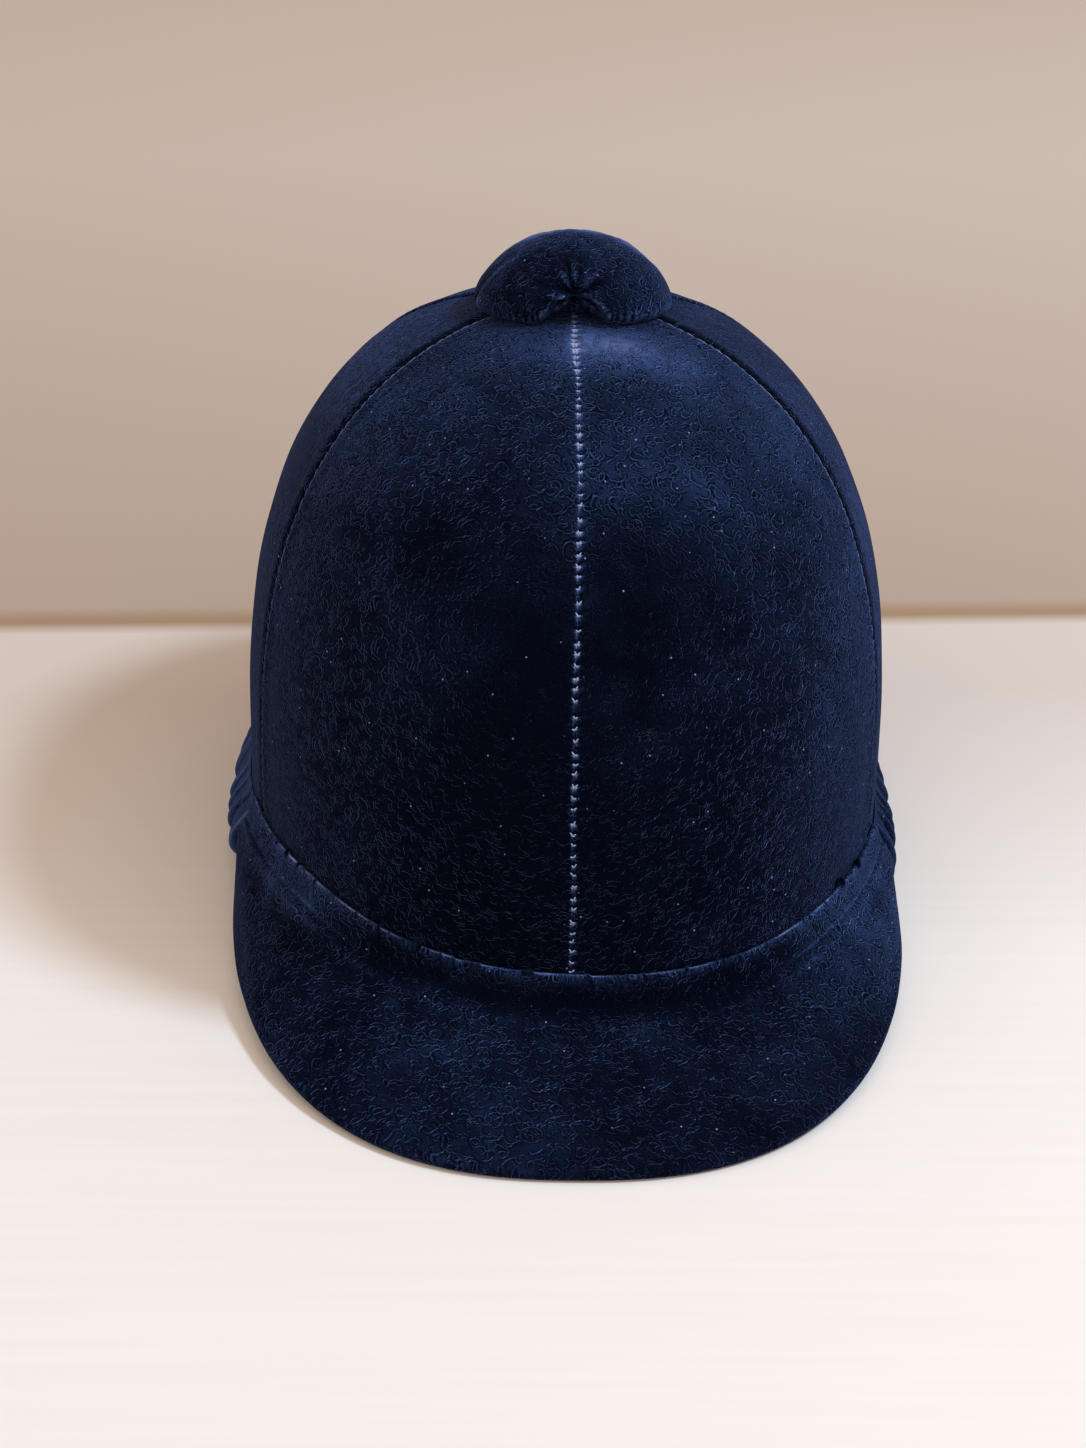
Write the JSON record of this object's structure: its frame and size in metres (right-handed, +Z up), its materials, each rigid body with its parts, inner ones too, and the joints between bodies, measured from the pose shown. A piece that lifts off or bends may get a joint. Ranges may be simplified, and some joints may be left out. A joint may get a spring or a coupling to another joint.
{
  "type": "hunt cap",
  "caption": "Velvet hunt cap with a seamed dome crown, a short peak with a turned-up collar, a gathered band behind it and a padded button on top.",
  "frame": {"origin": "on the surface that the cap stands on, below the middle of the cap's whole box, peak included", "axes": "+Z up; the front of the cap and its peak point to -Y; +X is the wearer's left"},
  "size_m": [0.2104, 0.312, 0.1926],
  "materials": {
    "crown_velvet": "matt cotton velvet pile",
    "peak_velvet": "matt cotton velvet pile",
    "band_velvet": "matt cotton velvet pile",
    "button_velvet": "matt cotton velvet pile"
  },
  "bodies": {
    "root": {"crown_front_left": "crown_velvet", "crown_side_left": "crown_velvet", "crown_back_left": "crown_velvet", "crown_back_right": "crown_velvet", "crown_side_right": "crown_velvet", "crown_front_right": "crown_velvet", "peak": "peak_velvet", "peak_collar": "peak_velvet", "gathered_band": "band_velvet", "crown_button": "button_velvet"}
  },
  "joints": []
}
